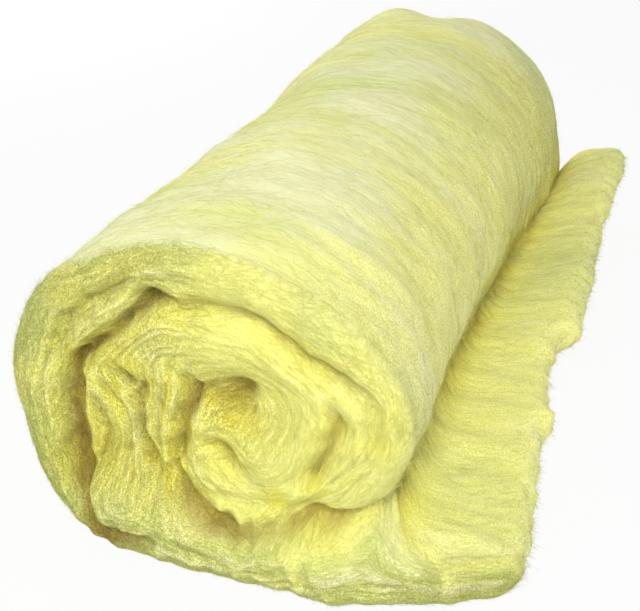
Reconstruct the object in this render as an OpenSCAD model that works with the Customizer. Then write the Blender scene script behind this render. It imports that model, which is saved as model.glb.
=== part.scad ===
// Roll of yellow glass wool insulation: one blanket, loosely rolled, sagging on the floor,
// with its outer end left loose beside the roll.
// +Y runs along the roll, away from the front end. +Z is up. The origin is on the floor,
// under the middle of the roll. All sizes are in millimetres.

/* [Blanket] */
// Width of the blanket, which is the length of the roll
blanket_w = 1200; // [600:10:1800]
// Thickness of one layer of wool
blanket_t = 75; // [50:1:100]

/* [Roll] */
// Overall width of the sagging roll
roll_w = 510; // [400:5:700]
// Overall height of the sagging roll
roll_h = 400; // [340:5:600]
// Height at which the sagging roll is widest
side_z = 160; // [120:5:220]
// Squareness of the roll below that height, where 2 is an ellipse
sag_power = 3.9; // [2.4:0.1:4.5]
// Squareness of the roll above that height, on the side away from the loose end
shoulder_power = 2.3; // [2:0.1:3]
// Width of the strip under the roll that is pressed flat on the floor
base_w = 300; // [150:5:350]
// Radius of the soft edge around each end of the roll
rim_r = 34; // [15:1:50]

/* [Loose end] */
// How far the loose end reaches past the side of the roll
tail_reach = 125; // [80:5:400]
// Thickness of wool at the tip of the loose end
tail_tip_t = 50; // [30:1:60]
// Height to which the far corner of the loose end curls off the floor
tail_lift = 85; // [0:1:120]
// How far the bottom layer has slipped out of the front end
layer_slip = 50; // [0:1:80]
// How far the front corner of the tip lies behind that slipped edge
corner_cut = 75; // [0:1:120]
// Height of the crease beside the roll, where it rests on the loose end
nip_z = 80; // [60:1:100]
// How far that crease lies inside the roll's side at the front
nip_in = 40; // [0:1:60]
// How far that crease lies outside the roll's side at the back
nip_out = 12; // [0:1:30]

/* [Turns] */
// Depth of the deepest crease between two turns, from the end of the roll
crease_depth = 60; // [20:1:90]
// Width of a crease at its bottom
crease_w = 6; // [4:1:10]
// Width of a crease at its mouth, between the round edges of two turns
crease_mouth = 26; // [16:1:32]
// Radius of the closed eye in the middle
eye_r = 42; // [30:1:60]

/* [Hidden] */

// The bottom layer lies on the floor, and the rest of the roll stands this far off it.
bottom_press = 1;

// The roll's section is half an ellipse above the height where it is widest, and squarer below it.
half_w = roll_w / 2;
upper_h = roll_h - side_z;
lower_h = side_z - bottom_press;

// Corners in the section, stations along the roll, and steps in the soft edges of the roll
// and of the bottom layer
section_steps = 60;
roll_stations = 8;
rim_steps = 4;
edge_steps = 3;
// The soft edge is larger on the side of the loose end by this share, and smaller on the floor.
rim_lean = 0.3;
rim_floor = 0.4;

// The bottom layer runs from under the roll, where it comes round from the side, to the loose end's tip.
tail_root_x = -base_w / 2;
tail_tip_x = half_w + tail_reach;
tail_steps = 15;
tail_stations = 10;
tip_turns = [30, 60, 80];

// The weight of the roll presses the bottom layer thinner.
pressed_t = blanket_t * side_z / half_w;
// The crease beside the roll draws in the roll's side over this height,
// and more and more between these two places.
nip_h = 70;
nip_from_x = 0.12 * half_w;
nip_full_x = 0.75 * half_w;
// Middle place of that crease along the roll
nip_x = half_w - nip_in / 2;

// A crease's mouth stands clear of the end that it is cut into.
crease_clear = 2;

// Routes of the creases on an end, as shares of half the roll's width, of its height
// and of the crease's depth. The outer crease parts the outer turn from the inner ones.
outer_turn = [
    [-0.43, 0.04, 0.7], [-0.59, 0.07, 1], [-0.67, 0.15, 1], [-0.68, 0.26, 1], [-0.64, 0.39, 1],
    [-0.63, 0.57, 0.95], [-0.50, 0.67, 0.75], [-0.36, 0.75, 0.7], [-0.24, 0.82, 0.75], [-0.11, 0.87, 0.85],
    [0.08, 0.86, 0.6], [0.27, 0.86, 0.55], [0.44, 0.83, 0.55], [0.60, 0.76, 0.6], [0.75, 0.68, 0.55],
    [0.84, 0.61, 0.45], [0.84, 0.51, 0.45], [0.81, 0.40, 0.45], [0.77, 0.30, 0.45], [0.67, 0.22, 0.5],
    [0.50, 0.19, 0.55], [0.35, 0.15, 0.65], [0.18, 0.10, 0.75], [0.02, 0.14, 0.75], [-0.13, 0.21, 0.5]];
inner_turn = [
    [0.49, 0.72, 0.3], [0.63, 0.65, 0.6], [0.68, 0.57, 0.6], [0.67, 0.47, 0.6], [0.63, 0.37, 0.6],
    [0.62, 0.30, 0.6], [0.52, 0.27, 0.5], [0.40, 0.28, 0.3]];
swirl_fold = [
    [-0.05, 0.60, 0.3], [-0.03, 0.52, 0.5], [-0.10, 0.41, 0.5], [-0.14, 0.31, 0.5], [-0.13, 0.23, 0.3]];
wedge_fold = [[-0.53, 0.55, 0.3], [-0.44, 0.40, 0.55], [-0.48, 0.31, 0.5], [-0.55, 0.23, 0.3]];
finger_fold = [
    [-0.34, 0.61, 0.3], [-0.29, 0.54, 0.6], [-0.30, 0.42, 0.6], [-0.29, 0.30, 0.6], [-0.24, 0.20, 0.3]];
eye_fold = [[0.05, 0.41, 0.3], [0.11, 0.36, 0.5], [0.20, 0.31, 0.5], [0.31, 0.31, 0.3]];
eye_place = [0.14, 0.54];
turn_routes = [outer_turn, inner_turn, swirl_fold];
// The inner layers have buckled at the front end only.
buckle_routes = [wedge_fold, finger_fold, eye_fold];

function clamp01(x) = min(1, max(0, x));
function smooth(x) = let (t = clamp01(x)) t * t * (3 - 2 * t);

// Share of the way from the front edge of the blanket to its back edge
function width_share(y) = clamp01(y / blanket_w + 1 / 2);

// How far the crease beside the roll draws in the roll's side at a station
function nip(y) = nip_in - (nip_in + nip_out) * smooth((width_share(y) - 0.25) / 0.75);

// Power of the section's curve in a quarter of it
function quarter_power(across, up) = up <= 0 ? sag_power : across < 0 ? shoulder_power : 2;

// A point of the section in X and Z, at an angle from the bottom towards the loose end
function section_point(angle, inset) =
    let (across = sin(angle), up = -cos(angle), power = 2 / quarter_power(across, up))
    [(half_w - inset) * sign(across) * pow(abs(across), power),
     side_z + ((up > 0 ? upper_h : -lower_h) - sign(up) * inset) * pow(abs(up), power)];

// The same point at a station along the roll, drawn in by the crease beside the roll
function nipped_point(p, y) =
    let (across = smooth((p[0] - nip_from_x) / (nip_full_x - nip_from_x)), up = (p[1] - nip_z) / nip_h)
    [p[0] - nip(y) * across * exp(-up * up), y, p[1]];

// Radius of the soft edge at an angle around the section
function rim_at(angle) =
    rim_r * (1 + rim_lean * sin(angle)) * (rim_floor + (1 - rim_floor) * smooth(1 - cos(angle)));

// The section as a ring through the soft edge at one end,
// where the turn is 0 on the roll's side and 90 on its end
function rim_ring(side, turn) = [
    for (i = [0 : section_steps - 1])
        let (angle = i * 360 / section_steps,
             r = rim_at(angle),
             y = side * (blanket_w / 2 - r * (1 - sin(turn))))
        nipped_point(section_point(angle, r * (1 - cos(turn))), y)];

// The section as a ring at a share of the way between the two soft edges
function side_ring(share) = [
    for (i = [0 : section_steps - 1])
        let (angle = i * 360 / section_steps, reach = blanket_w / 2 - rim_at(angle))
        nipped_point(section_point(angle, 0), reach * (2 * share - 1))];

// Share of the way from the crease beside the roll to the loose end's tip
function tail_share(x) = clamp01((x - nip_x) / (tail_tip_x - nip_x));

// Height of the floor side of the loose end, which curls up towards its far corner
function tail_floor(x, y) = tail_lift * (1 - pow(1 - tail_share(x), 2)) * width_share(y);

// Thickness of wool along the bottom layer: pressed under the roll, thickest at the crease,
// and thinner at the tip
function tail_thickness(x) =
    x < nip_x
        ? pressed_t + (nip_z - pressed_t) * smooth((x - nip_from_x) / (nip_x - nip_from_x))
        : tail_tip_t + (nip_z - tail_tip_t) * pow(1 - tail_share(x), 3);

// Share of the way out from the roll's soft edge that the bottom layer has come at x
function tail_out(x) = smooth((x - tail_root_x) / half_w);

// Places of the bottom layer's front edge, which has slipped out of the roll, and of its back edge
function tail_front(x) =
    -blanket_w / 2 + rim_r - (layer_slip + rim_r) * tail_out(x)
    + corner_cut * smooth((x - nip_full_x) / (tail_tip_x - nip_full_x));
function tail_back(x) = blanket_w / 2 - rim_r * (1 - tail_out(x));

// The bottom layer cut across at x: along the floor to the back, and over the top to the front.
// The inset draws the cut in from above and below.
function tail_ring(x, inset = 0) =
    let (edge = tail_thickness(x) / 2 - inset,
         front = tail_front(x) + edge + inset,
         back = tail_back(x) - edge - inset,
         turns = [for (i = [1 : edge_steps]) i * 180 / (edge_steps + 1)],
         stations = [for (i = [0 : tail_stations]) front + i * (back - front) / tail_stations])
    concat(
        [for (y = stations) [x, y, tail_floor(x, y) + inset]],
        [for (t = turns) [x, back + edge * sin(t), tail_floor(x, back) + inset + edge * (1 - cos(t))]],
        [for (i = [tail_stations : -1 : 0])
            [x, stations[i], tail_floor(x, stations[i]) + inset + 2 * edge]],
        [for (t = turns) [x, front - edge * sin(t), tail_floor(x, front) + inset + edge * (1 + cos(t))]]);

// Place of an end's face along Y, where the bottom layer has slipped out of the front end
function face_y(p, side) =
    let (slip = layer_slip * tail_out(p[0]) * (1 - smooth(p[1] / pressed_t - 0.75)))
    side * blanket_w / 2 - (side < 0 ? slip : 0);

// The crease cut across at a point of its route: wide at its mouth on the end, narrow at its bottom
function crease_ring(route, i, side) =
    let (path = [for (p = route) [p[0] * half_w, p[1] * roll_h]],
         ahead = path[min(i + 1, len(path) - 1)] - path[max(i - 1, 0)],
         across = [-ahead[1], ahead[0]] / norm(ahead) / 2,
         face = face_y(path[i], side),
         outside = side * (blanket_w / 2 + layer_slip + crease_clear),
         bottom = face - side * crease_depth * route[i][2])
    [for (corner = [[crease_mouth, outside], [crease_mouth, face], [crease_w, bottom]], way = [-1, 1])
        let (p = path[i] + way * across * corner[0])
        [p[0], corner[1], p[1]]];

// A cap over one ring: a strip of triangles between the ring's two halves
function cap(first, n) = [
    for (j = [0 : ceil(n / 2) - 2])
        let (k = n - 1 - j)
        each concat([[first + j, first + j + 1, first + k]],
                    k - j > 2 ? [[first + j + 1, first + k - 1, first + k]] : [])];

function turned_over(faces) = [for (f = faces) [f[2], f[1], f[0]]];

// A closed solid through a list of rings that have the same number of points
module loft(rings) {
    n = len(rings[0]);
    last = len(rings) - 1;
    sides = [
        for (i = [0 : last - 1], j = [0 : n - 1])
            let (a = i * n + j, b = i * n + (j + 1) % n)
            each [[a, b, a + n], [b, b + n, a + n]]];
    faces = concat(turned_over(cap(0, n)), sides, cap(last * n, n));
    polyhedron([for (ring = rings) each ring], faces, convexity = 8);
}

// The smallest body around a list of points
module wrapped(points) {
    hull() polyhedron(points, [[for (i = [0 : len(points) - 1]) i]]);
}

// The roll without its loose end, with soft edges
module roll_body() {
    turns = [for (i = [1 : rim_steps]) i * 90 / rim_steps];
    front = [for (i = [rim_steps - 1 : -1 : 0]) rim_ring(-1, turns[i])];
    middle = [for (i = [0 : roll_stations]) side_ring(i / roll_stations)];
    back = [for (t = turns) rim_ring(1, t)];
    loft(concat(front, middle, back));
}

// The bottom layer, which the roll lies on, and the loose end, as a chain of short lengths with a round tip
module bottom_layer() {
    tip_r = tail_tip_t / 2;
    straight = [
        for (i = [0 : tail_steps])
            tail_ring(tail_root_x + i * (tail_tip_x - tip_r - tail_root_x) / tail_steps)];
    tip = [for (t = tip_turns) tail_ring(tail_tip_x - tip_r * (1 - sin(t)), tip_r * (1 - cos(t)))];
    rings = concat(straight, tip);
    for (i = [1 : len(rings) - 1])
        wrapped(concat(rings[i - 1], rings[i]));
}

// A crease in the end at one side, as a chain of short lengths
module crease(route, side) {
    for (i = [1 : len(route) - 1])
        wrapped(concat(crease_ring(route, i - 1, side), crease_ring(route, i, side)));
}

// The closed eye, a shallow hollow in the end at one side
module eye(side) {
    translate([eye_place[0] * half_w, side * blanket_w / 2, eye_place[1] * roll_h])
        scale([1, 0.6, 1]) sphere(eye_r, $fn = 24);
}

module wool_blanket() {
    color("khaki")
    difference() {
        union() {
            roll_body();
            bottom_layer();
        }
        for (side = [-1, 1]) {
            for (route = turn_routes) crease(route, side);
            eye(side);
        }
        for (route = buckle_routes) crease(route, -1);
    }
}

wool_blanket();
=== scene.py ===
import math

import bpy
import numpy as np
from mathutils import Matrix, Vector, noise
from mathutils.geometry import delaunay_2d_cdt


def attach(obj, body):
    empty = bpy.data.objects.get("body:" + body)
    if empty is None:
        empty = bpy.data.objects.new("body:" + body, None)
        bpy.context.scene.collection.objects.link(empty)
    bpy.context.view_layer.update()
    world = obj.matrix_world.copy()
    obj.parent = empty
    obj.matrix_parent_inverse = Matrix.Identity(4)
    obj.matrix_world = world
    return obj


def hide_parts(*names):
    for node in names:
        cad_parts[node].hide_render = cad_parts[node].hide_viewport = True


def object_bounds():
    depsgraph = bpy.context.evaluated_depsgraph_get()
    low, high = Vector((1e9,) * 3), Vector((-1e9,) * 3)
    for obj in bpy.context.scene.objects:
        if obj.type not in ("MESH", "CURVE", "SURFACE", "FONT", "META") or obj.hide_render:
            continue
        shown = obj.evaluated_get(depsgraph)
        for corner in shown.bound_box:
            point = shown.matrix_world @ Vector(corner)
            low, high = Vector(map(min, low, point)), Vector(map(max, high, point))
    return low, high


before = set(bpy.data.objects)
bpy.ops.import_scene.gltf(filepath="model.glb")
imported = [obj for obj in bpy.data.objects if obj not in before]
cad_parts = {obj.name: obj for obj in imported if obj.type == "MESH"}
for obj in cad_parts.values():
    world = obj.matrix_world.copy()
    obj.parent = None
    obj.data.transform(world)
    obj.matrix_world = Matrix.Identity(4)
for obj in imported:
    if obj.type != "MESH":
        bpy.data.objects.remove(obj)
cad_low, cad_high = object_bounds()

# The roll's section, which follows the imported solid
half_w = -cad_low.x
roll_h = cad_high.z
tip_x = cad_high.x
back_y = cad_high.y
front_y = -back_y
blanket_w = back_y - front_y
side_z = 0.160
sag_power = 3.9
# The lower half of the section would reach this share below the floor, which cuts it flat.
floor_cut = 1.03

# The loose end, and the places along the roll where the crease beside it lies further in or out
crease_z = 0.080
tip_t = 0.050
tail_lift = 0.090
crease_y = (-0.60, -0.42, -0.22, 0.0, 0.2, 0.4, 0.6)
crease_shift = (-0.034, -0.040, -0.038, -0.022, -0.008, 0.008, 0.014)

# Filling of the crease beside the roll: how far, around it, and how far along the roll from the front end
fill_depth = 0.006
fill_radius = 0.04
fill_length = 0.16

# How far the bottom layer has slipped out at places across the front
slip_x = (-0.25, -0.21, -0.12, -0.04, 0.19, 0.257, 0.32, 0.38)
slip_y = (0.0, 0.010, 0.044, 0.052, 0.054, 0.036, 0.008, -0.030)
# The slipped layer's top slopes between two heights, which lie closer together at the loose end.
slope_x = (0.14, 0.22)
slope_low_z = (0.046, 0.056)
slope_high_z = (0.090, 0.090)

# Tufts of the slipped layer's front: depth and size in X and Z
tuft_depth = 0.006
tuft_size = (0.020, 0.030, 1.0)

# Dent where the crease beside the roll opens out on the front end
notch_depth = 0.040
notch_radius = 0.024

# Radius of the soft edge of the ends: on the floor, on the left, over the top and on the right
rim_floor = 0.014
rim_left = 0.028
rim_top = 0.034
rim_right = 0.046

# Lumps that stand out of the outside, or sink in: place, radius and height
swells = (
    ((-0.20, -0.46, 0.29), 0.16, 0.016),
    ((-0.21, 0.36, 0.28), 0.22, 0.015),
    ((-0.15, 0.55, 0.36), 0.10, 0.008),
    ((-0.09, 0.58, 0.395), 0.05, 0.008),
    ((0.0, 0.60, 0.40), 0.07, -0.024),
    ((0.16, 0.58, 0.34), 0.06, -0.004),
    ((-0.22, -0.10, 0.26), 0.05, 0.006),
    ((-0.22, 0.12, 0.26), 0.05, 0.007),
    ((-0.21, -0.30, 0.28), 0.04, 0.006),
)

# Folds pressed into the loose end: from and to a place in X and Y, width and depth
tail_folds = (
    ((0.255, -0.625), (0.315, -0.560), 0.010, 0.012),
    ((0.27, -0.45), (0.30, -0.40), 0.014, 0.005),
)

# Lumps all over the outside: height, size and number of the noise, the second kind drawn out round the roll
even_lumps = ((0.008, 0.22, 1), (0.005, 0.09, 2))
wound_lumps = ((0.003, (0.16, 0.05, 1.0), 4), (0.0026, (0.06, 0.020, 1.0), 5))

# Corner of the grid over the section, which reaches past the outline
grid_x0 = -half_w - 0.04
grid_z0 = -0.02

# Spacing of points around and along the outside, on the two ends, and of the grid over the section
skin_step = 0.0062
station_step = 0.0065
front_step = 0.0026
back_step = 0.0055
relief_step = 0.0018

# Fine relief of the ends: heights of streaks, wisps, strands and broad patches
streak_h = 0.0012
wisp_h = 0.0022
strand_h = 0.0030
patch_h = 0.004

# How far the creases of the ends wander off their routes, how uneven their depth is, and the size of each
wander = 0.006
wander_size = 0.024
uneven = 0.2
uneven_size = 0.045

# The middle of the eye, where the wool is rough
eye_x = 0.04
eye_z = 0.20

# Creases of the front end: depth, half width and route of each, as places in X and Z.
# A third and fourth number of a place are its shares of the crease's depth and half width.
outer_crease = (
    (-0.060, 0.020, 0.5, 1.0), (-0.115, 0.012, 0.9, 1.0), (-0.156, 0.026, 1.1, 1.2),
    (-0.178, 0.065, 1.1, 1.5), (-0.179, 0.115, 1.0, 1.6), (-0.175, 0.160, 1.0, 1.5),
    (-0.169, 0.200, 1.0, 1.2), (-0.158, 0.234, 0.9, 0.9), (-0.126, 0.266, 0.7, 0.8),
    (-0.080, 0.308, 0.7, 0.8), (-0.048, 0.336, 0.8, 1.0), (-0.012, 0.338, 0.5, 1.1),
    (0.046, 0.338, 0.45, 1.2), (0.090, 0.328, 0.55, 1.1), (0.132, 0.298, 0.55, 1.0),
    (0.176, 0.274, 0.5, 1.0), (0.208, 0.250, 0.4, 1.1), (0.218, 0.220, 0.3, 1.3),
    (0.212, 0.180, 0.3, 1.3), (0.200, 0.140, 0.3, 1.3), (0.178, 0.102, 0.35, 1.2),
    (0.146, 0.082, 0.45, 1.1), (0.110, 0.066, 0.55, 1.0), (0.070, 0.056, 0.7, 1.0),
    (0.040, 0.055, 0.8, 1.0), (0.005, 0.062, 0.8, 1.0), (-0.030, 0.080, 0.7, 1.0),
    (-0.044, 0.104, 0.5, 1.0),
)
lip_fold = ((-0.195, 0.222), (-0.156, 0.288), (-0.104, 0.338), (-0.058, 0.370))
inner_crease = ((0.168, 0.240), (0.173, 0.205), (0.165, 0.178), (0.155, 0.145), (0.156, 0.116))
under_fold = ((0.236, 0.082), (0.208, 0.082), (0.178, 0.078), (0.146, 0.074), (0.110, 0.060))
wedge_fold = ((-0.104, 0.244), (-0.090, 0.224), (-0.078, 0.200))
hollow_fold = ((-0.138, 0.190), (-0.134, 0.150), (-0.134, 0.122), (-0.150, 0.092), (-0.165, 0.066))
finger_fold = ((-0.066, 0.232), (-0.078, 0.197), (-0.079, 0.150), (-0.072, 0.108), (-0.064, 0.080))
finger_line = ((-0.042, 0.232), (-0.054, 0.192), (-0.058, 0.155), (-0.054, 0.112))
strand_fold = (
    (-0.130, 0.229), (-0.118, 0.198), (-0.100, 0.176),
    (-0.096, 0.150), (-0.106, 0.118), (-0.112, 0.090),
)
swirl_fold = ((-0.010, 0.242), (-0.011, 0.208), (-0.022, 0.170), (-0.034, 0.130), (-0.040, 0.100))
eye_fold = ((0.006, 0.150), (0.028, 0.146), (0.040, 0.126), (0.060, 0.122))
eye_rim = ((0.005, 0.228), (0.030, 0.238), (0.066, 0.244), (0.094, 0.240), (0.100, 0.210), (0.084, 0.176))
front_creases = (
    (0.044, 0.011, outer_crease),
    (0.018, 0.009, lip_fold),
    (0.025, 0.012, inner_crease),
    (0.030, 0.011, under_fold),
    (0.024, 0.011, wedge_fold),
    (0.020, 0.016, hollow_fold),
    (0.028, 0.010, finger_fold),
    (0.018, 0.007, finger_line),
    (0.018, 0.007, strand_fold),
    (0.030, 0.010, swirl_fold),
    (0.028, 0.011, eye_fold),
    (0.010, 0.020, eye_rim),
)
# Pits of the front end: place in X and Z, radius and depth
front_pits = ((-0.047, 0.343, 0.014, 0.014), (0.010, 0.224, 0.014, 0.014), (0.060, 0.236, 0.015, 0.014),
              (0.046, 0.216, 0.036, 0.024), (-0.088, 0.224, 0.016, 0.010))
# Golden patches of the front end: place in X and Z, and radius
front_gold = ((-0.142, 0.317, 0.022), (-0.082, 0.243, 0.020), (0.113, 0.317, 0.018), (0.216, 0.185, 0.022),
              (0.011, 0.214, 0.014), (0.110, 0.096, 0.018), (0.164, 0.122, 0.020), (-0.030, 0.346, 0.016))
back_creases = ((0.044, 0.016, outer_crease), (0.034, 0.016, inner_crease), (0.026, 0.014, swirl_fold),
                (0.024, 0.018, eye_rim))
back_pits = ((0.040, 0.200, 0.030, 0.030),)
back_gold = ()

# Ragged tip of the loose end: depth and size of its tufts, and how far it stands out along the roll
ragged_depth = 0.006
ragged_size = 0.016
ragged_y = (-0.60, -0.50, -0.40, -0.32, -0.285, -0.25, -0.17, -0.10, -0.065, -0.03, 0.04, 0.30, 0.60)
ragged_x = (0.006, 0.008, -0.004, -0.012, -0.001, -0.016, -0.022, -0.022, 0.004, -0.006, 0.0, 0.004, 0.012)


def smooth(x):
    """0 below 0, 1 above 1, and smooth in between."""
    t = np.clip(x, 0.0, 1.0)
    return t * t * (3.0 - 2.0 * t)


def ramp(x, start, end):
    """0 before start, 1 after end, and smooth in between."""
    return smooth((np.asarray(x) - start) / (end - start))


def lumps(points, size, seed):
    """Smooth noise of about -1 to 1 at points, with bumps of a size along each axis."""
    places = np.asarray(points) / np.asarray(size) + seed * 17.3
    return np.array([noise.noise(place) for place in places.tolist()])


def lengths_along(points):
    """Distance along a line of points, from its start."""
    return np.concatenate([[0.0], np.cumsum(np.linalg.norm(np.diff(points, axis=0), axis=1))])


def resampled(points, spacing):
    """The same line with points at an even spacing."""
    along = lengths_along(points)
    places = np.linspace(0.0, along[-1], int(round(along[-1] / spacing)) + 1)
    return np.column_stack([np.interp(places, along, column) for column in points.T])


def curve(route, spacing):
    """A smooth line through the points of a route."""
    p = np.array(route)
    p = np.vstack([2 * p[0] - p[1], p, 2 * p[-1] - p[-2]])
    pieces = []
    t = np.linspace(0.0, 1.0, 12, endpoint=False)[:, None]
    for a, b, c, d in zip(p[:-3], p[1:-2], p[2:-1], p[3:]):
        pieces.append(b + 0.5 * t * (c - a + t * (2 * a - 5 * b + 4 * c - d + t * (3 * (b - c) + d - a))))
    pieces.append(p[-2:-1])
    return resampled(np.vstack(pieces), spacing)


def inward_directions(points):
    """Directions square to a closed line of points, towards its inside."""
    way = np.roll(points, -1, axis=0) - np.roll(points, 1, axis=0)
    return np.column_stack([-way[:, 1], way[:, 0]]) / np.linalg.norm(way, axis=1)[:, None]


def section_points(angle):
    """Points of the roll's section in X and Z, at angles from the bottom towards the loose end."""
    across, up = np.sin(angle), -np.cos(angle)
    power = np.where(up > 0, 1.0, 2.0 / sag_power)
    height = np.where(up > 0, roll_h - side_z, -side_z * floor_cut)
    x = half_w * np.sign(across) * np.abs(across) ** power
    z = side_z + height * np.abs(up) ** power
    return np.column_stack([x, np.maximum(z, 0.0)])


def blanket_outline():
    """The edge of the section: from the crease over the roll, along the floor to the tip, and back."""
    side = section_points(np.linspace(0.0, math.pi / 2, 400))
    crease_angle = np.interp(crease_z, side[:, 1], np.linspace(0.0, math.pi / 2, 400))
    roll = section_points(np.linspace(crease_angle, 2 * math.pi, 1200))
    radius = tip_t / 2
    turn = np.linspace(-math.pi / 2, math.pi / 2, 40)
    tip = np.column_stack([tip_x - radius + radius * np.cos(turn), radius + radius * np.sin(turn)])
    share = np.linspace(0.0, 1.0, 60)[1:]
    top = np.column_stack([tip[-1, 0] + (roll[0, 0] - tip[-1, 0]) * share,
                           tip_t + (crease_z - tip_t) * share ** 3])
    return resampled(np.vstack([roll, tip, top]), skin_step)[:-1]


def front_edge(x, z):
    """Place of the front end along Y, before its creases."""
    low, high = np.interp(x, slope_x, slope_low_z), np.interp(x, slope_x, slope_high_z)
    tufts = tuft_depth * lumps(np.column_stack([x, z, 0 * x]), tuft_size, 6)
    opening = notch_depth * np.exp(-((x - outline[0, 0]) ** 2 + (z - crease_z) ** 2) / notch_radius ** 2)
    return front_y + opening - (np.interp(x, slip_x, slip_y) + tufts) * (1 - ramp(z, low, high))


def rim_radius(x, z):
    """Radius of the soft edge of an end, at points of the outline."""
    beside = np.where(x > 0, rim_right, rim_left)
    radius = rim_top + (beside - rim_top) * ramp(np.abs(x), 0.05, half_w)
    radius = radius + (tip_t / 2 - radius) * ramp(x, half_w - 0.01, half_w + 0.04)
    return rim_floor + (radius - rim_floor) * ramp(z, 0.0, tip_t)


def tail_curl(x, y, z):
    """How far the loose end is lifted off the floor, at points of the section without that lift."""
    out = np.clip((x - outline[0, 0]) / (tip_x - outline[0, 0]), 0.0, 1.0)
    low = 1 - ramp(z, crease_z, crease_z + 0.05)
    back = np.clip((y - front_y) / blanket_w, 0.0, 1.0)
    return tail_lift * (1 - (1 - out) ** (2 + 2 * back ** 4)) * low * back


def tail_ragged(x, y, z):
    """How far the ragged tip of the loose end stands out."""
    out = ramp(x, outline[0, 0], tip_x)
    fine = ragged_depth * lumps(np.column_stack([y, z, 0 * y]), ragged_size, 3)
    return out * (np.interp(y, ragged_y, ragged_x) + fine)


def crease_move(x, y, z):
    """How far the crease beside the roll lies further out, and what is near it."""
    beside = ramp(x, 0.04, 0.20) * (1 - ramp(x, outline[0, 0] + 0.01, tip_x))
    return np.interp(y, crease_y, crease_shift) * beside * np.exp(-((z - crease_z) / 0.07) ** 2)


def crease_fill(x, y, z):
    """How far the crease beside the roll is filled up, which it is towards the front end only."""
    far = np.hypot(x - outline[0, 0], z - crease_z) / fill_radius
    return fill_depth * np.exp(-far ** 2) * (1 - ramp(y, front_y, front_y + fill_length))


def shaped(x, y, z):
    """Points of the section at places along the roll, with the loose end curled and ragged."""
    fill = crease_fill(x, y, z)
    out = x + fill + crease_move(x, y, z) + tail_ragged(x, y, z)
    return np.column_stack([out, y, z + fill + tail_curl(x, y, z)])


def grid_normals(points):
    """Outward normals of a closed grid of points: across the section, then along the roll."""
    across = np.roll(points, -1, axis=0) - np.roll(points, 1, axis=0)
    along = np.gradient(points, axis=1)
    normals = np.cross(along, across)
    return normals / np.linalg.norm(normals, axis=2, keepdims=True)


def fold_depth(points, normals):
    """How deep the folds in the top of the loose end are, at points of the outside."""
    total = np.zeros(len(points))
    for (x0, y0), (x1, y1), width, depth in tail_folds:
        way = np.array([x1 - x0, y1 - y0])
        share = np.clip(((points[:, :2] - (x0, y0)) @ way) / (way @ way), 0.0, 1.0)
        far = np.linalg.norm(points[:, :2] - (x0, y0) - share[:, None] * way, axis=1)
        total += depth * np.exp(-(far / width) ** 2) * (normals[:, 2] > 0)
    return total


def skin_grids():
    """Points of the outside, plain and with its lumps: a row along the roll for each outline point."""
    count = int(round(blanket_w / station_step))
    share = np.linspace(0.0, 1.0, count + 1)
    x, z = outline.T
    start = front_edge(x, z) + rim_radius(x, z)
    end = back_y - rim_radius(x, z)
    y = start[:, None] + (end - start)[:, None] * share[None, :]
    grid_x, grid_z = np.broadcast_to(x[:, None], y.shape), np.broadcast_to(z[:, None], y.shape)
    plain = shaped(grid_x.ravel(), y.ravel(), grid_z.ravel())
    normals = grid_normals(plain.reshape(y.shape + (3,)))
    wound = np.column_stack([np.repeat(outline_along[:-1], len(share)), y.ravel(), 0 * y.ravel()])
    swell = sum(height * lumps(plain, size, number) for height, size, number in even_lumps)
    swell += sum(height * lumps(wound, size, number) for height, size, number in wound_lumps)
    for place, radius, height in swells:
        swell += height * np.exp(-(np.linalg.norm(plain - place, axis=1) / radius) ** 2)
    swell -= fold_depth(plain, normals.reshape(-1, 3))
    swell *= 0.2 + 0.8 * ramp(plain[:, 2], 0.004, 0.05)
    plain = plain.reshape(y.shape + (3,))
    points = plain + normals * swell.reshape(y.shape + (1,))
    points[..., 2] = np.maximum(points[..., 2], 0.0)
    return plain, points


def section_grid():
    """A regular grid of places in X and Z over the section."""
    xs = np.arange(grid_x0, tip_x + 0.05, relief_step)
    zs = np.arange(grid_z0, roll_h + 0.04, relief_step)
    return np.meshgrid(xs, zs, indexing="ij")


def read(field, x, z):
    """Values at points in X and Z of a field over the section."""
    i = np.clip((np.asarray(x) - grid_x0) / relief_step, 0, field.shape[0] - 1.001)
    k = np.clip((np.asarray(z) - grid_z0) / relief_step, 0, field.shape[1] - 1.001)
    a, b = i.astype(int), k.astype(int)
    s, t = i - a, k - b
    if field.ndim == 3:
        s, t = s[..., None], t[..., None]
    return ((field[a, b] * (1 - s) + field[a + 1, b] * s) * (1 - t)
            + (field[a, b + 1] * (1 - s) + field[a + 1, b + 1] * s) * t)


def inside_outline(points):
    """Which points in X and Z lie inside the outline."""
    found = np.zeros(len(points), bool)
    for (ax, az), (bx, bz) in zip(outline, np.roll(outline, -1, axis=0)):
        if az != bz:
            crosses = (az > points[:, 1]) != (bz > points[:, 1])
            at = ax + (points[:, 1] - az) / (bz - az) * (bx - ax)
            found ^= crosses & (points[:, 0] < at)
    return found


def edge_fields():
    """Over the section: distance inwards from the outline, and the number of its nearest point."""
    flat = np.column_stack([section_x.ravel(), section_z.ravel()])
    far = np.full(len(flat), 9.0)
    nearest = np.zeros(len(flat), int)
    for i, (a, b) in enumerate(zip(outline, np.roll(outline, -1, axis=0))):
        way = b - a
        share = np.clip(((flat - a) @ way) / (way @ way), 0.0, 1.0)
        gap = np.hypot(flat[:, 0] - a[0] - share * way[0], flat[:, 1] - a[1] - share * way[1])
        nearest = np.where(gap < far, (i + (share > 0.5)) % len(outline), nearest)
        far = np.minimum(far, gap)
    far = np.where(inside_outline(flat), far, -far)
    return far.reshape(section_x.shape), nearest.reshape(section_x.shape)


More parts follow.
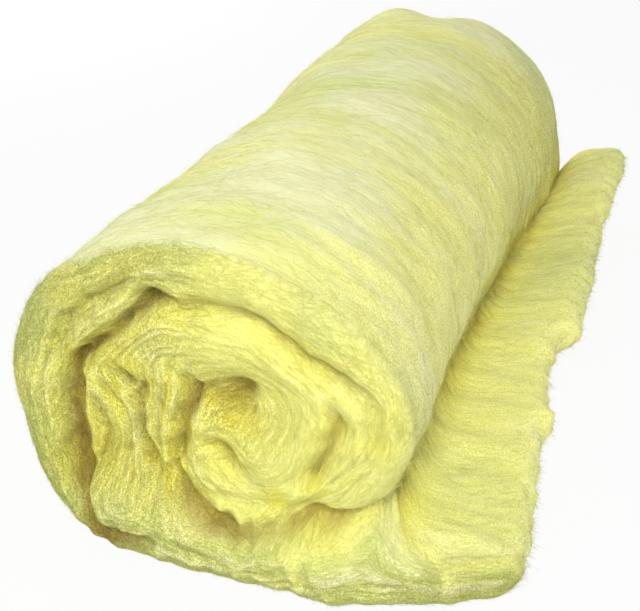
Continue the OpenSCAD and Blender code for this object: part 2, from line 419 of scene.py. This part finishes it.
class End:
    """One end of the roll: its creases, the direction of its fibres and its surface."""

    def __init__(self, creases, pits, patches, side, seed):
        self.side = side
        self.recess = np.zeros(section_x.shape)
        self.glow = np.zeros(section_x.shape)
        self.turn = np.zeros(section_x.shape + (2,))
        for depth, width, route in creases:
            self.add_crease(depth, width, route, seed)
        edge = np.vstack([outline, outline[:1]])
        self.add_line(edge, np.zeros(len(edge)), np.ones(len(edge)))
        for x, z, radius, depth in pits:
            far = np.hypot(section_x - x, section_z - z) / radius
            self.recess += depth * np.exp(-far ** 2)
            # Painted glow: gold around the pit, by its depth
            self.glow = np.maximum(self.glow, np.exp(-(far / 1.4) ** 2) * depth / 0.03)
        for x, z, radius in patches:
            far = np.hypot(section_x - x, section_z - z) / radius
            self.glow = np.maximum(self.glow, 1.2 * np.exp(-far ** 2))
        self.turn /= np.linalg.norm(self.turn, axis=2, keepdims=True)
        draw = np.random.default_rng(seed)
        self.streak = self.smeared(draw.uniform(-1, 1, section_x.shape), 16)
        places = np.column_stack([section_x.ravel(), 0 * section_x.ravel() + side, section_z.ravel()])
        self.patch = lumps(places, 0.05, seed).reshape(section_x.shape)
        self.wisp = self.smeared(lumps(places, 0.010, seed + 1).reshape(section_x.shape), 24)
        self.strand = self.smeared(lumps(places, 0.0045, seed + 2).reshape(section_x.shape), 18)
        column = 0 if side < 0 else -1
        beside_eye = np.exp(-np.hypot(section_x - eye_x, section_z - eye_z) ** 2 / 0.06 ** 2)
        low = 1 - ramp(section_z, 0.02, 0.07)
        rough = 0.3 + 0.7 * ramp(-section_x, -0.05, 0.06) + 0.6 * beside_eye + 0.6 * low
        self.rough = np.clip(rough, 0.0, 1.0)
        self.shift = (skin[:, column] - skin_plain[:, column])[edge_nearest]
        self.rim = rim_radius(*outline.T)[edge_nearest]

    def add_crease(self, depth, width, route, seed):
        """A crease that wanders along a route, and gets shallow at its two ends."""
        line = curve(route, 0.004)
        own = line[:, 2:] if line.shape[1] > 2 else np.ones((len(line), 2))
        share = np.linspace(0.0, 1.0, len(line))
        fade = smooth(share * len(line) / 12 + 0.3) * smooth((1 - share) * len(line) / 12 + 0.3)
        flat = np.column_stack([line[:, 0], 0 * share, line[:, 1]])
        moved = np.column_stack([wander * lumps(flat, wander_size, seed + number) for number in (3, 4)])
        deep = depth * own[:, 0] * fade * (1 + uneven * lumps(flat, uneven_size, seed + 5))
        self.add_line(line[:, :2] + moved, deep, width * own[:, 1])

    def add_line(self, line, depth, width):
        """A line that the fibres follow, with a dent of a depth at each of its points."""
        way = np.gradient(line, axis=0)
        heading = 2 * np.arctan2(way[:, 1], way[:, 0])
        for (x, z), deep, wide, double in zip(line, depth, width, heading):
            far = np.hypot(section_x - x, section_z - z)
            if deep > 0:
                near = np.exp(-(far / wide) ** 2)
                shoulder = np.exp(-(far / wide / 2.0) ** 2)
                self.recess = np.maximum(self.recess, deep * (0.75 * near + 0.25 * shoulder))
                # Painted glow: gold over the shoulders of the dent, by its depth
                self.glow = np.maximum(self.glow, shoulder * deep / 0.035)
            pull = 1.0 / (far * far + 0.008 ** 2) ** 2
            self.turn += pull[..., None] * np.array([math.cos(double), math.sin(double)])

    def heading(self, x, z):
        """Direction of the fibres at points, as an angle in the plane of the end."""
        turn = read(self.turn, x, z)
        return 0.5 * np.arctan2(turn[..., 1], turn[..., 0])

    def traced(self, x, z, step, bend, count):
        """Places along the fibres through points: count steps to either side of each."""
        halves = []
        for start in (0.0, math.pi):
            px, pz = x, z
            last = self.heading(px, pz) + bend + start
            half = [np.stack([px, pz], -1)]
            for _ in range(count):
                turn = self.heading(px, pz) + bend
                turn = np.where(np.cos(turn - last) < 0, turn + math.pi, turn)
                px, pz, last = px + step * np.cos(turn), pz + step * np.sin(turn), turn
                half.append(np.stack([px, pz], -1))
            halves.append(half)
        return np.stack(halves[1][:0:-1] + halves[0], axis=-2)

    def smeared(self, field, count):
        """A field smeared along the fibres, of about -1 to 1."""
        routes = self.traced(section_x, section_z, relief_step, 0.0, count)
        total = read(field, routes[..., 0], routes[..., 1]).mean(axis=-1)
        return total / total.std() / 2

    def surface(self, x, z):
        """Points of the end in space, at places in X and Z."""
        gap = np.maximum(read(edge_gap, x, z), 0.0)
        rim = read(self.rim, x, z)
        share = np.clip(1 - gap / rim, 0.0, 1.0)
        sunk = rim * (1 - np.sqrt(1 - share * share))
        sunk += read(self.recess, x, z) * ramp(gap, 0.0, 0.03)
        rough = read(self.rough, x, z)
        fine = streak_h * read(self.streak, x, z)
        fine -= wisp_h * read(self.wisp, x, z) + strand_h * read(self.strand, x, z)
        sunk += (fine * rough + patch_h * read(self.patch, x, z)) * ramp(gap, 0.0, 0.03)
        edge = front_edge(x, z) if self.side < 0 else back_y
        points = shaped(x, edge - self.side * sunk, z)
        points += read(self.shift, x, z) * (1 - ramp(gap, 0.0, 0.06))[:, None]
        points[:, 2] = np.maximum(points[:, 2], 0.0)
        return points

    def normals(self, x, z):
        """Outward directions of the end at places in X and Z."""
        reach = 0.004
        across = self.surface(x + reach, z) - self.surface(x - reach, z)
        upwards = self.surface(x, z + reach) - self.surface(x, z - reach)
        normals = -self.side * np.cross(across, upwards)
        return normals / (np.linalg.norm(normals, axis=1, keepdims=True) + 1e-12)

    def tints(self, x, z):
        """Shares of each tint at places on the end: gold for golden patches and painted glow in creases and
        pits, dark gold for painted shade in creases and between strands, pale for pale wisps and painted
        highlights on raised strands, green for a greenish tint that also paints shade on the left and the
        outer band, and grainy wool.
        """
        patch = read(self.patch, x, z)
        rough = read(self.rough, x, z)
        wisp = read(self.wisp, x, z) * rough
        low = 1 - ramp(z, 0.03, 0.09)
        strand = read(self.strand, x, z) * rough
        inner = rough * ramp(read(edge_gap, x, z), 0.05, 0.09)
        # Gold: golden patches, and painted glow around creases and pits and in the sunk strands inside the
        # end
        gold_and_crease_glow = read(self.glow, x, z) * (0.6 + 0.8 * patch) + (0.15 + 0.6 * ramp(-strand, 0.0, 0.8)) * inner
        gold_and_crease_glow = np.clip(gold_and_crease_glow, 0.0, 0.9) * (1 - 0.85 * low)
        # Painted shade: ochre by the depth of the creases and pits, and a little in the sunk strands
        deep = 0.85 * ramp(read(self.recess, x, z), 0.010, 0.040) + 0.15 * ramp(-strand, 0.1, 1.0)
        # Pale on raised wisps and strands, partly pale fibres and partly painted highlight; also by random
        # patches and towards the bottom
        pale_and_highlight = ramp(0.8 * wisp + 0.4 * patch + 0.4 * low + 0.8 * strand, 0.2, 1.5)
        outer = 1 - 0.7 * ramp(read(edge_gap, x, z), 0.05, 0.10)
        # Green: a greenish tint by random patches, and painted shade towards the left and on the outer band
        green = 0.8 * outer * ramp(patch - 0.5 * wisp - 2.0 * x + 1.2 * low, -0.2, 0.9)
        return np.column_stack([gold_and_crease_glow, deep, pale_and_highlight, green, rough])

    def points(self, step):
        """Places that fill the outline: rows along its edge, and an even spread inside."""
        rows = []
        for depth in (0.0012, 0.004, 0.008):
            row = outline + outline_inwards * depth
            rows.append(row[read(edge_gap, *row.T) > depth * 0.85])
        row_step = step * 0.866
        across, upwards = np.arange(-half_w, tip_x, step), np.arange(0.0, roll_h, row_step)
        xs, zs = np.meshgrid(across, upwards, indexing="ij")
        xs = xs + 0.5 * step * (np.arange(zs.shape[1]) % 2)[None, :]
        spread = np.column_stack([xs.ravel(), zs.ravel()])
        return np.vstack(rows + [spread[read(edge_gap, *spread.T) > 0.0105]])


def skin_tints(along, y):
    """Shares of each tint by distance around the outline and by Y: gold and dark gold for painted glow and
    shade in the crease beside the roll, pale wool with a painted highlight over the top, green wool, and
    grainy wool with painted shade on the right side towards the back.
    """
    wound = np.column_stack([along, y, 0 * y])
    broad = lumps(wound, (0.20, 0.11, 1.0), 31)
    narrow = lumps(wound, (0.07, 0.026, 1.0), 32)
    tint = lumps(wound, (0.30, 0.16, 1.0), 33)
    crown = np.exp(-((along - outline_along[np.argmax(outline[:, 1])]) / 0.20) ** 2)
    # Pale: random pale wool, and a painted highlight over the top
    pale_and_highlight = ramp(broad + 0.3 * narrow + 0.9 * crown, 0.12, 1.25)
    green = 0.65 * ramp(tint + 0.2 * narrow, -0.35, 0.60)
    beside = np.minimum(along, outline_along[-1] - along)
    # Painted glow: gold along the crease beside the roll
    gold_and_crease_glow = np.exp(-(beside / 0.045) ** 2) * np.clip(0.75 + 0.8 * broad, 0.0, 1.0)
    # Painted shade: ochre in the crease beside the roll
    deep = 0.5 * np.exp(-(beside / 0.016) ** 2)
    right_side = ramp(along, 0.0, 0.05) * (1 - ramp(along, 0.22, 0.42))
    # Grain: fewer specks over the top; more on the right side, growing towards the back, which is painted
    # shade
    grain_and_side_shade = 0.5 - 0.42 * crown + right_side * (0.25 + 0.35 * ramp(y, -0.1, 0.5))
    return np.column_stack([gold_and_crease_glow, deep, pale_and_highlight, green, np.clip(grain_and_side_shade, 0.0, 1.0)])


def mesh_object(name, vertices, triangles, material):
    """A smooth mesh from arrays of points and of corners of triangles."""
    mesh = bpy.data.meshes.new(name)
    mesh.vertices.add(len(vertices))
    mesh.vertices.foreach_set("co", np.ascontiguousarray(vertices, np.float32).ravel())
    mesh.loops.add(3 * len(triangles))
    mesh.loops.foreach_set("vertex_index", np.ascontiguousarray(triangles, np.int32).ravel())
    mesh.polygons.add(len(triangles))
    mesh.polygons.foreach_set("loop_start", np.arange(0, 3 * len(triangles), 3, dtype=np.int32))
    mesh.polygons.foreach_set("use_smooth", np.ones(len(triangles), bool))
    mesh.update(calc_edges=True)
    mesh.materials.append(material)
    piece = bpy.data.objects.new(name, mesh)
    bpy.context.scene.collection.objects.link(piece)
    return piece


def set_values(piece, name, values, domain="POINT"):
    """Stores one number or one vector for each point, or each corner, of a piece."""
    values = np.ascontiguousarray(values, np.float32)
    kind = "FLOAT" if values.ndim == 1 else "FLOAT_VECTOR"
    field = piece.data.attributes.new(name, kind, domain)
    field.data.foreach_set("value" if kind == "FLOAT" else "vector", values.ravel())


def set_tints(piece, tints):
    """Stores the shares of gold, dark gold, pale, green and grainy wool of a piece's points, which carry
    painted glow, shade and highlight too.
    """
    for name, values in zip(("gold_and_crease_glow", "deep", "pale_and_highlight", "green", "grain_and_side_shade"), tints.T):
        set_values(piece, name, values)


def corners(*parts):
    """Rows of the three corners of triangles, from a grid for each corner."""
    return np.stack(parts, -1).reshape(-1, 3)


def blanket_body(material):
    """The whole blanket as one closed mesh: its outside and its two ends."""
    rows, columns = skin.shape[:2]
    index = np.arange(rows * columns).reshape(rows, columns)
    a, b = index[:, :-1], np.roll(index, -1, axis=0)[:, :-1]
    c, d = np.roll(index, -1, axis=0)[:, 1:], index[:, 1:]
    sides = np.concatenate([corners(a, c, b), corners(a, d, c)])
    u, v = (np.broadcast_to(part[:, None], a.shape) for part in (outline_along[:-1], outline_along[1:]))
    around = np.concatenate([corners(u, v, v), corners(u, u, v)])
    points = [skin.reshape(-1, 3)]
    faces = [sides]
    tints = [skin_tints(np.repeat(outline_along[:-1], columns), points[0][:, 1])]
    edges = [(i, (i + 1) % rows) for i in range(rows)]
    for end, step in ((front, front_step), (back, back_step)):
        places = end.points(step)
        flat = np.vstack([outline, places])
        triangles = np.array(delaunay_2d_cdt(flat.tolist(), edges, [], 0, 1e-9, False)[2])
        triangles = triangles[inside_outline(flat[triangles].mean(axis=1))]
        column = 0 if end.side < 0 else -1
        numbers = np.concatenate([index[:, column], sum(map(len, points)) + np.arange(len(places))])
        faces.append(numbers[triangles if end.side < 0 else triangles[:, ::-1]])
        points.append(end.surface(*places.T))
        tints.append(end.tints(*places.T))
    body = mesh_object("wool_blanket_body", np.vstack(points), np.vstack(faces), material)
    set_tints(body, np.vstack(tints))
    flow = np.zeros((len(body.data.polygons), 3, 3))
    flow[:len(sides), :, 0] = around
    flow[:len(sides), :, 1] = skin.reshape(-1, 3)[sides, 1]
    set_values(body, "flow", flow.reshape(-1, 3), "CORNER")
    return body


def linear(red, green, blue):
    """A colour written as it shows on a screen, from 0 to 255, as the shader's own colour."""
    shown = np.array([red, green, blue]) / 255
    light = np.where(shown <= 0.04045, shown / 12.92, ((shown + 0.055) / 1.055) ** 2.4)
    return tuple(light) + (1.0,)


class Nodes:
    """Short ways to add shader nodes to a new material."""

    def __init__(self, name):
        self.material = bpy.data.materials.new(name)
        self.material.use_nodes = True
        self.tree = self.material.node_tree
        self.tree.nodes.clear()

    def add(self, kind, **values):
        node = self.tree.nodes.new(kind)
        for key, value in values.items():
            setattr(node, key, value)
        return node

    def link(self, source, target):
        self.tree.links.new(source, target)

    def attribute(self, name):
        return self.add("ShaderNodeAttribute", attribute_name=name)

    def noise(self, vector, scale, detail, stretch=(1, 1, 1)):
        place = self.add("ShaderNodeMapping")
        place.inputs["Scale"].default_value = stretch
        self.link(vector, place.inputs["Vector"])
        made = self.add("ShaderNodeTexNoise")
        made.inputs["Scale"].default_value = scale
        made.inputs["Detail"].default_value = detail
        self.link(place.outputs["Vector"], made.inputs["Vector"])
        return made.outputs["Fac"]

    def spread(self, value, low, high):
        made = self.add("ShaderNodeMapRange", interpolation_type="SMOOTHSTEP")
        made.inputs["From Min"].default_value = low
        made.inputs["From Max"].default_value = high
        self.link(value, made.inputs["Value"])
        return made.outputs["Result"]

    def mix(self, share, first, second):
        made = self.add("ShaderNodeMix", data_type="RGBA")
        self.link(share, made.inputs["Factor"])
        for socket, colour in (("A", first), ("B", second)):
            target = [s for s in made.inputs if s.name == socket and s.type == "RGBA"][0]
            if isinstance(colour, tuple):
                target.default_value = colour
            else:
                self.link(colour, target)
        return [s for s in made.outputs if s.type == "RGBA"][0]

    def shader(self, colour, roughness):
        made = self.add("ShaderNodeBsdfPrincipled")
        self.link(colour, made.inputs["Base Color"])
        made.inputs["Roughness"].default_value = roughness
        made.inputs["Specular IOR Level"].default_value = 0.15
        output = self.add("ShaderNodeOutputMaterial")
        self.link(made.outputs["BSDF"], output.inputs["Surface"])
        return made


# Colours of the wool, some of which paint light: the gold paints glow in creases, the ochre paints shade in
# creases, the pale also paints highlights and the green also paints shade. Then the tints that darken them:
# of fine specks, which also paint shade on the roll's right side, of streaks and of single fibres
pale_wool_and_highlight = linear(247, 248, 196)
wool_yellow = linear(250, 250, 162)
green_wool_and_shade = linear(222, 230, 150)
gold_wool_and_crease_glow = linear(252, 246, 112)
painted_crease_shade = linear(176, 152, 58)
speck_and_shade_tint = (0.66, 0.63, 0.38, 1.0)
streak_tint = (0.955, 0.95, 0.90, 1.0)
fibre_tint = (0.97, 0.96, 0.92, 1.0)


def shaded(n, colour, share, dark):
    """A colour, darkened by a dark tint where a share is low."""
    made = n.add("ShaderNodeMix", data_type="RGBA", blend_type="MULTIPLY")
    made.inputs["Factor"].default_value = 1.0
    first, second = [s for s in made.inputs if s.type == "RGBA"]
    n.link(colour, first)
    n.link(n.mix(share, dark, (1.0, 1.0, 1.0, 1.0)), second)
    return [s for s in made.outputs if s.type == "RGBA"][0]


def wool_colour(n):
    """Colour of the wool from the stored shares of each kind, painted glow, shade and highlight among them,
    with fine dark specks where it is grainy, which also paint shade on the roll's right side.
    """
    colour = n.mix(n.attribute("green").outputs["Fac"], wool_yellow, green_wool_and_shade)
    colour = n.mix(n.attribute("pale_and_highlight").outputs["Fac"], colour, pale_wool_and_highlight)
    colour = n.mix(n.attribute("gold_and_crease_glow").outputs["Fac"], colour, gold_wool_and_crease_glow)
    colour = n.mix(n.attribute("deep").outputs["Fac"], colour, painted_crease_shade)
    place = n.add("ShaderNodeTexCoord").outputs["Object"]
    speck = n.spread(n.noise(place, 480.0, 2.0), 0.38, 0.62)
    grain = n.add("ShaderNodeMix", data_type="FLOAT")
    n.link(n.attribute("grain_and_side_shade").outputs["Fac"], grain.inputs["Factor"])
    grain.inputs["A"].default_value = 1.0
    n.link(speck, grain.inputs["B"])
    return shaded(n, colour, grain.outputs["Result"], speck_and_shade_tint)


def body_material():
    """Wool under the loose fibres, with fine streaks around the roll."""
    n = Nodes("glass_wool")
    flow = n.attribute("flow").outputs["Vector"]
    fine = n.spread(n.noise(flow, 1.0, 4.0, (60.0, 330.0, 1.0)), 0.30, 0.70)
    colour = shaded(n, wool_colour(n), fine, streak_tint)
    made = n.shader(colour, 0.9)
    made.inputs["Subsurface Weight"].default_value = 0.5
    made.inputs["Subsurface Radius"].default_value = (1.0, 0.9, 0.4)
    made.inputs["Subsurface Scale"].default_value = 0.012
    made.inputs["Sheen Weight"].default_value = 0.2
    made.inputs["Sheen Roughness"].default_value = 0.6
    bump = n.add("ShaderNodeBump")
    bump.inputs["Strength"].default_value = 0.22
    bump.inputs["Distance"].default_value = 0.002
    n.link(fine, bump.inputs["Height"])
    n.link(bump.outputs["Normal"], made.inputs["Normal"])
    return n.material


def fibre_material():
    """Loose fibres: the wool's colour, with a tone of its own for each, and light that passes through."""
    n = Nodes("glass_fibres")
    tone = n.attribute("tone").outputs["Fac"]
    colour = n.mix(n.spread(tone, 0.6, 1.8), wool_colour(n), pale_wool_and_highlight)
    colour = shaded(n, colour, n.spread(tone, -0.2, 0.5), fibre_tint)
    made = n.shader(colour, 0.7)
    through = n.add("ShaderNodeBsdfTranslucent")
    n.link(colour, through.inputs["Color"])
    both = n.add("ShaderNodeMixShader")
    both.inputs["Fac"].default_value = 0.08
    n.link(made.outputs["BSDF"], both.inputs[1])
    n.link(through.outputs["BSDF"], both.inputs[2])
    output = [node for node in n.tree.nodes if node.type == "OUTPUT_MATERIAL"][0]
    n.link(both.outputs["Shader"], output.inputs["Surface"])
    return n.material


def fibre_piece(name, paths, radius, tone, tints, material):
    """Thin tapered fibres along paths, as closed three-sided tubes in one mesh."""
    count, steps = paths.shape[:2]
    paths[..., 2] = np.maximum(paths[..., 2], 0.0008)
    way = np.gradient(paths, axis=1)
    way /= np.linalg.norm(way, axis=2, keepdims=True) + 1e-12
    side = np.cross(way, np.array([0.31, 0.53, 0.79]))
    side /= np.linalg.norm(side, axis=2, keepdims=True) + 1e-12
    other = np.cross(way, side)
    taper = np.sin(np.linspace(0.0, math.pi, steps)) ** 0.5
    thick = radius[:, None] * taper[None, :]
    rings = []
    for corner in range(3):
        angle = corner * 2 * math.pi / 3
        rings.append(paths + thick[..., None] * (math.cos(angle) * side + math.sin(angle) * other))
    rings = np.stack(rings, axis=2)[:, 1:-1].reshape(count, -1, 3)
    points = np.concatenate([paths[:, :1], rings, paths[:, -1:]], axis=1)
    last = 3 * (steps - 2) + 1
    faces = []
    for corner in range(3):
        after = (corner + 1) % 3
        faces.append((0, 1 + after, 1 + corner))
        for ring in range(steps - 3):
            a, b = 1 + 3 * ring + corner, 1 + 3 * ring + after
            faces += [(a, b, b + 3), (a, b + 3, a + 3)]
        faces.append((last - 3 + corner, last - 3 + after, last))
    faces = (np.array(faces)[None] + (np.arange(count) * (last + 1))[:, None, None]).reshape(-1, 3)
    piece = mesh_object(name, points.reshape(-1, 3), faces, material)
    tints = tints.reshape(count, steps, -1)
    tints = np.concatenate([tints[:, :1], np.repeat(tints[:, 1:-1], 3, axis=1), tints[:, -1:]], axis=1)
    set_tints(piece, tints.reshape(-1, tints.shape[-1]))
    set_values(piece, "tone", np.repeat(tone, last + 1))
    return piece


# Kinds of fibres: shortest and longest, spread of their direction, share that stands off,
# by how much at most, and largest radius
laid = (0.018, 0.060, 0.28, 0.05, 0.006, 0.00022)
fuzz = (0.010, 0.036, 0.80, 0.60, 0.009, 0.00020)
# Share of an end's fibres that lie inside its soft edge
inside_share = 0.78
# Fibres on the outside are longer than those on the ends, and spread more, by these factors.
outside_length = 1.4
outside_spread = 1.15


def end_fibres(name, count, end, kind, seed, material):
    """Fibres along the layers on one end, and on its soft edge."""
    shortest, longest, spread, standing, highest, thick = kind
    draw = np.random.default_rng(seed)
    half_steps = 2
    steps = 2 * half_steps + 1
    tries = 3 * count
    inner = np.column_stack([draw.uniform(-half_w, tip_x, tries), draw.uniform(0.0, roll_h, tries)])
    inner = inner[read(edge_gap, *inner.T) > 0.003][:int(inside_share * count)]
    at = draw.integers(0, len(outline), count - len(inner))
    gap = rim_radius(*outline[at].T) * (1 - np.sin(draw.uniform(0.0, math.pi / 2, len(at)))) + 0.0005
    seeds = np.vstack([inner, outline[at] + outline_inwards[at] * gap[:, None]])
    length = draw.uniform(shortest, longest, count)
    bend = draw.normal(0.0, spread, count)
    routes = end.traced(seeds[:, 0], seeds[:, 1], length / (steps - 1), bend, half_steps)
    x, z = routes.reshape(-1, 2).T
    share = np.linspace(-1.0, 1.0, steps)[None, :]
    bow = draw.uniform(0.0, 0.0010, count)[:, None] * (1 - share ** 2)
    loose = (draw.random(count) < standing)[:, None] * draw.uniform(0.001, highest, count)[:, None]
    loose = loose * (1 - ramp(read(end.recess, *seeds.T), 0.008, 0.024))[:, None]
    lift = 0.0002 + bow + loose * np.clip(share, 0, 1) ** 2
    points = end.surface(x, z).reshape(count, steps, 3)
    points += lift[..., None] * end.normals(x, z).reshape(count, steps, 3)
    radius = thick * draw.uniform(0.5, 1.0, count)
    return fibre_piece(name, points, radius, draw.random(count), end.tints(x, z), material)


def skin_fibres(name, count, kind, seed, material):
    """Fibres around the roll and along the loose end."""
    shortest, longest, spread, standing, highest, thick = kind
    draw = np.random.default_rng(seed)
    steps = 4
    rows, columns = skin.shape[:2]
    normals = grid_normals(skin)
    row = draw.uniform(0, rows, 2 * count)
    column = draw.uniform(0, columns - 1, 2 * count)
    at = skin[row.astype(int) % rows, column.astype(int)]
    facing = normals[row.astype(int) % rows, column.astype(int), 2]
    kept = np.flatnonzero((at[:, 2] > 0.012) & (facing > -0.75))[:count]
    row, column = row[kept], column[kept]
    count = len(kept)
    length = outside_length * draw.uniform(shortest, longest, count)
    slant = draw.normal(0.0, outside_spread * spread, count)
    curl = draw.normal(0.0, 0.5, count)
    share = np.linspace(-0.5, 0.5, steps)[None, :]
    angle = slant[:, None] + curl[:, None] * share
    rows_at = row[:, None] + length[:, None] * share * np.cos(angle) / skin_step
    columns_at = column[:, None] + length[:, None] * share * np.sin(angle) / station_step
    columns_at = np.clip(columns_at, 0, columns - 1.001)
    i, k = np.floor(rows_at).astype(int), columns_at.astype(int)
    s, t = (rows_at - i)[..., None], (columns_at - k)[..., None]

    def between(grid):
        first = grid[i % rows, k] * (1 - s) + grid[(i + 1) % rows, k] * s
        second = grid[i % rows, k + 1] * (1 - s) + grid[(i + 1) % rows, k + 1] * s
        return first * (1 - t) + second * t

    bow = draw.uniform(0.0, 0.0008, count)[:, None] * (1 - 4 * share ** 2)
    loose = (draw.random(count) < standing)[:, None] * draw.uniform(0.001, highest, count)[:, None]
    lift = 0.0002 + bow + loose * np.clip(share + 0.5, 0, 1) ** 2
    points = between(skin) + between(normals) * lift[..., None]
    along = (rows_at % rows) * skin_step
    tints = skin_tints(along.ravel(), points[..., 1].ravel())
    radius = thick * draw.uniform(0.5, 1.0, count)
    return fibre_piece(name, points, radius, draw.random(count), tints, material)


def fringe_fibres(name, count, seed, material):
    """Loose fibres that stand out from the tip of the loose end."""
    draw = np.random.default_rng(seed)
    steps = 4
    rows, columns = skin.shape[:2]
    normals = grid_normals(skin)
    tip_rows = np.flatnonzero(outline[:, 0] > tip_x - 0.6 * tip_t)
    row = draw.choice(tip_rows, count)
    column = draw.integers(0, columns, count)
    start = skin[row, column]
    outwards = normals[row, column] * (1, 0.4, 0.5) + draw.normal(0.0, 0.45, (count, 3))
    outwards /= np.linalg.norm(outwards, axis=1, keepdims=True)
    length = draw.uniform(0.003, 0.013, count)
    share = np.linspace(0.0, 1.0, steps)
    bend = draw.normal(0.0, 0.35, (count, 3))
    points = start[:, None] + length[:, None, None] * (
        outwards[:, None] * (share[None, :, None] - 0.35) + bend[:, None] * (share ** 2)[None, :, None])
    tints = skin_tints(np.repeat(outline_along[row], steps), np.repeat(start[:, 1], steps))
    radius = draw.uniform(0.00025, 0.00045, count)
    return fibre_piece(name, points, radius, draw.random(count), tints, material)


def seen_directly(tree):
    """A share that is 1 for rays from the camera, also by way of glossy or clear surfaces, or else 0."""
    path = tree.nodes.new("ShaderNodeLightPath")
    total = path.outputs["Is Camera Ray"]
    for name in ("Is Glossy Ray", "Is Transmission Ray"):
        both = tree.nodes.new("ShaderNodeMath")
        both.operation = "MAXIMUM"
        tree.links.new(total, both.inputs[0])
        tree.links.new(path.outputs[name], both.inputs[1])
        total = both.outputs["Value"]
    return total


def floor_and_world():
    """A white floor that keeps a soft shadow, and an even white surround."""
    half = 30.0
    plain_share = 0.9
    surround_light = 0.40
    ends = [(-half, -half, 0), (half, -half, 0), (half, half, 0), (-half, half, 0)]
    mesh = bpy.data.meshes.new("floor")
    mesh.from_pydata(ends, [], [(0, 1, 2, 3)])
    floor = bpy.data.objects.new("floor", mesh)
    bpy.context.scene.collection.objects.link(floor)
    n = Nodes("floor")
    diffuse = n.add("ShaderNodeBsdfDiffuse")
    diffuse.inputs["Color"].default_value = (0.8, 0.8, 0.8, 1.0)
    glow = n.add("ShaderNodeEmission")
    both = n.add("ShaderNodeMixShader")
    share = n.add("ShaderNodeMath", operation="MULTIPLY")
    share.inputs[1].default_value = plain_share
    n.link(seen_directly(n.tree), share.inputs[0])
    n.link(share.outputs["Value"], both.inputs["Fac"])
    n.link(diffuse.outputs["BSDF"], both.inputs[1])
    n.link(glow.outputs["Emission"], both.inputs[2])
    n.link(both.outputs["Shader"], n.add("ShaderNodeOutputMaterial").inputs["Surface"])
    mesh.materials.append(n.material)

    world = bpy.data.worlds.new("surround")
    bpy.context.scene.world = world
    world.use_nodes = True
    tree = world.node_tree
    tree.nodes.clear()
    light = tree.nodes.new("ShaderNodeBackground")
    light.inputs["Strength"].default_value = surround_light
    white = tree.nodes.new("ShaderNodeBackground")
    white.inputs["Color"].default_value = (1.0, 1.0, 1.0, 1.0)
    light.inputs["Color"].default_value = (1.0, 1.0, 1.0, 1.0)
    both = tree.nodes.new("ShaderNodeMixShader")
    tree.links.new(seen_directly(tree), both.inputs["Fac"])
    tree.links.new(light.outputs["Background"], both.inputs[1])
    tree.links.new(white.outputs["Background"], both.inputs[2])
    tree.links.new(both.outputs["Shader"], tree.nodes.new("ShaderNodeOutputWorld").inputs["Surface"])


def lamp(name, place, aim, size, power):
    """A square soft lamp that points at a place."""
    light = bpy.data.lights.new(name, "AREA")
    light.size = size
    light.energy = power
    thing = bpy.data.objects.new(name, light)
    bpy.context.scene.collection.objects.link(thing)
    forward = np.array(aim) - np.array(place)
    forward = forward / np.linalg.norm(forward)
    right = np.cross(forward, (0, 0, 1))
    right = right / np.linalg.norm(right)
    up = np.cross(right, forward)
    turn = Matrix(np.column_stack([right, up, -forward]).tolist()).to_4x4()
    thing.matrix_world = Matrix.Translation(place) @ turn


def camera():
    """The camera at the photograph's place: in front of the roll, to its right and above it."""
    place = (0.4806, -1.4413, 0.8708)
    yaw, pitch, tilt = math.radians(20.77), math.radians(29.12), math.radians(-2.2)
    picture_w = 640
    focal_pixels = 1001
    data = bpy.data.cameras.new("camera")
    data.sensor_width = 36.0
    data.lens = data.sensor_width * focal_pixels / picture_w
    thing = bpy.data.objects.new("camera", data)
    bpy.context.scene.collection.objects.link(thing)
    ahead = math.cos(pitch)
    forward = np.array([-math.sin(yaw) * ahead, math.cos(yaw) * ahead, -math.sin(pitch)])
    level = np.array([math.cos(yaw), math.sin(yaw), 0.0])
    above = np.cross(level, forward)
    right = math.cos(tilt) * level + math.sin(tilt) * above
    up = -math.sin(tilt) * level + math.cos(tilt) * above
    turn = Matrix(np.column_stack([right, up, -forward]).tolist()).to_4x4()
    thing.matrix_world = Matrix.Translation(place) @ turn
    bpy.context.scene.camera = thing


camera()
floor_and_world()
lamp("key_lamp", (0.95, -3.20, 2.70), (0.0, -0.2, 0.2), 1.8, 134.0)
lamp("back_lamp", (-2.40, 2.00, 0.80), (-0.1, 0.2, 0.2), 1.8, 45.0)
bpy.context.scene.view_settings.view_transform = "Standard"

outline = blanket_outline()
outline_along = lengths_along(np.vstack([outline, outline[:1]]))
outline_inwards = inward_directions(outline)
section_x, section_z = section_grid()
edge_gap, edge_nearest = edge_fields()
skin_plain, skin = skin_grids()
front = End(front_creases, front_pits, front_gold, -1, 11)
back = End(back_creases, back_pits, back_gold, 1, 12)
wool = body_material()
fibres = fibre_material()
body = blanket_body(wool)
pieces = [body]
pieces.append(end_fibres("front_fibres", 10800, front, laid, 21, fibres))
pieces.append(end_fibres("front_fuzz", 10500, front, fuzz, 22, fibres))
pieces.append(end_fibres("back_fibres", 3000, back, laid, 23, fibres))
pieces.append(skin_fibres("side_fibres", 14000, laid, 24, fibres))
pieces.append(skin_fibres("side_fuzz", 12000, fuzz, 25, fibres))
pieces.append(fringe_fibres("fringe_fibres", 3000, 26, fibres))

for piece in pieces:
    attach(piece, "root")
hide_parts("wool_blanket")
